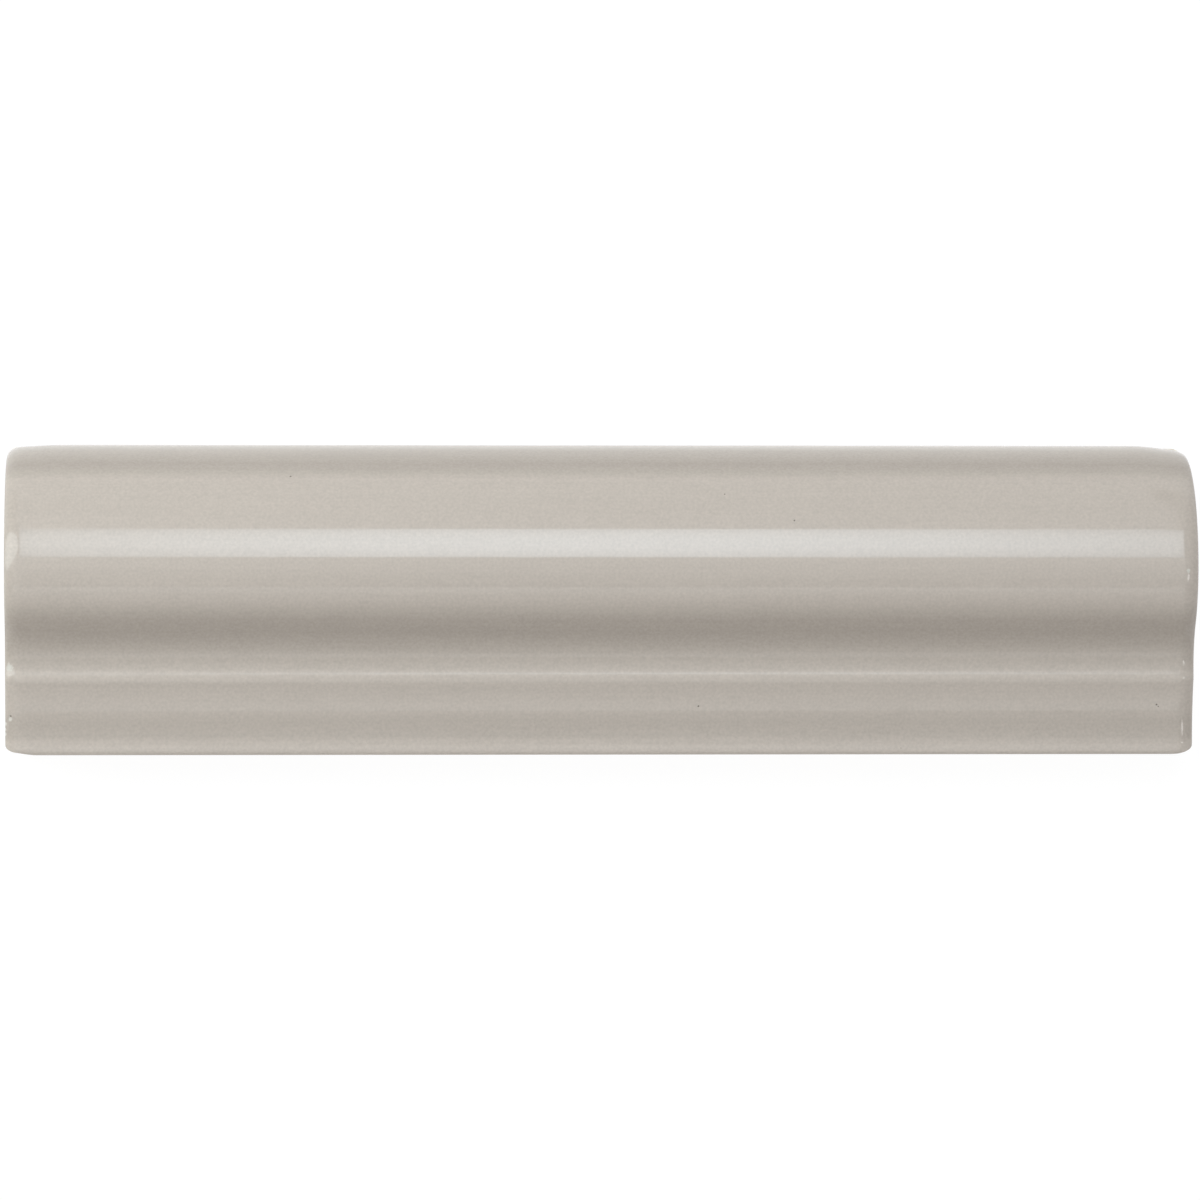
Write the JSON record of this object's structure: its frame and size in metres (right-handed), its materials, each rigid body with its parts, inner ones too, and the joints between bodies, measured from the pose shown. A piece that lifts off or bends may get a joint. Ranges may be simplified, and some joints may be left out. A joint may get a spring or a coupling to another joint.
{
  "type": "ceramic moulding tile",
  "caption": "Straight ceramic dado moulding tile with a rounded nose, ogee, cove and small bead, glazed warm grey, with a keyed unglazed back to bed on a wall.",
  "frame": {"origin": "middle of the back face, on the surface that the tile lies on or is bedded on", "axes": "+X along the length, +Y up the wall towards the rounded nose, +Z out of the wall from the back to the face"},
  "size_m": [0.152, 0.0396, 0.018],
  "materials": {
    "glaze": "gloss"
  },
  "bodies": {
    "root": {"moulding_tile": "glaze"}
  },
  "joints": []
}
